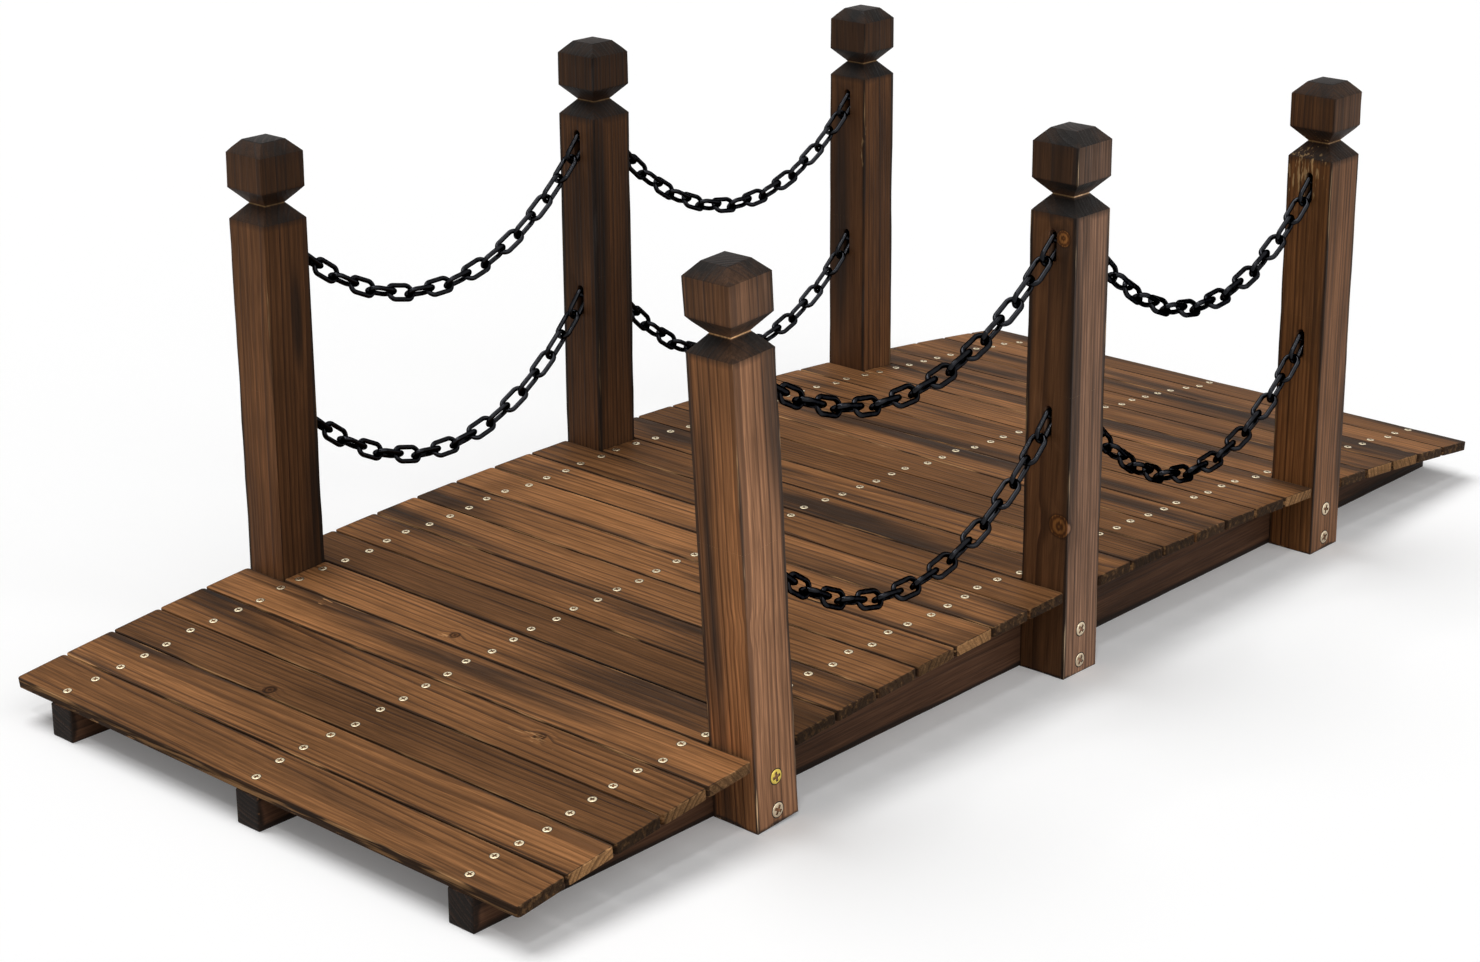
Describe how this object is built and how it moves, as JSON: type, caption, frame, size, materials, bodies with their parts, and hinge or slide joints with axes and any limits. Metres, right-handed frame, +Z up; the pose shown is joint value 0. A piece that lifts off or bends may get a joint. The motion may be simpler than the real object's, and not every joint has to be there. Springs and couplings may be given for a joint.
{
  "type": "garden bridge",
  "caption": "Low arched wooden garden footbridge: plank deck on three arch-topped runners, square posts with mitred heads and black link chains as railings.",
  "frame": {"origin": "on the ground under the middle of the deck, at the centre of the footprint", "axes": "+X along the walk from the front end to the back end, +Y to the left of a person walking that way, +Z up"},
  "size_m": [1.4818, 0.672, 0.532],
  "materials": {
    "deck_wood": "scorched and oiled softwood",
    "runner_wood": "dark stained softwood",
    "post_wood": "scorched and brushed softwood",
    "chain_steel": "gloss black"
  },
  "bodies": {
    "root": {"deck_board_01": "deck_wood", "deck_board_02": "deck_wood", "deck_board_03": "deck_wood", "deck_board_04": "deck_wood", "deck_board_05": "deck_wood", "deck_board_06": "deck_wood", "deck_board_07": "deck_wood", "deck_board_08": "deck_wood", "deck_board_09": "deck_wood", "deck_board_10": "deck_wood", "deck_board_11": "deck_wood", "deck_board_12": "deck_wood", "deck_board_13": "deck_wood", "deck_board_14": "deck_wood", "deck_board_15": "deck_wood", "deck_board_16": "deck_wood", "deck_board_17": "deck_wood", "deck_board_18": "deck_wood", "deck_board_19": "deck_wood", "deck_board_20": "deck_wood", "deck_board_21": "deck_wood", "deck_board_22": "deck_wood", "deck_board_23": "deck_wood", "deck_board_24": "deck_wood", "deck_board_25": "deck_wood", "deck_board_26": "deck_wood", "deck_board_27": "deck_wood", "runner_right": "runner_wood", "runner_middle": "runner_wood", "runner_left": "runner_wood", "post_right_front": "post_wood", "post_right_middle": "post_wood", "post_right_back": "post_wood", "post_left_front": "post_wood", "post_left_middle": "post_wood", "post_left_back": "post_wood", "chain_right_front_lower": "chain_steel", "chain_right_front_upper": "chain_steel", "chain_right_back_lower": "chain_steel", "chain_right_back_upper": "chain_steel", "chain_left_front_lower": "chain_steel", "chain_left_front_upper": "chain_steel", "chain_left_back_lower": "chain_steel", "chain_left_back_upper": "chain_steel"}
  },
  "joints": []
}
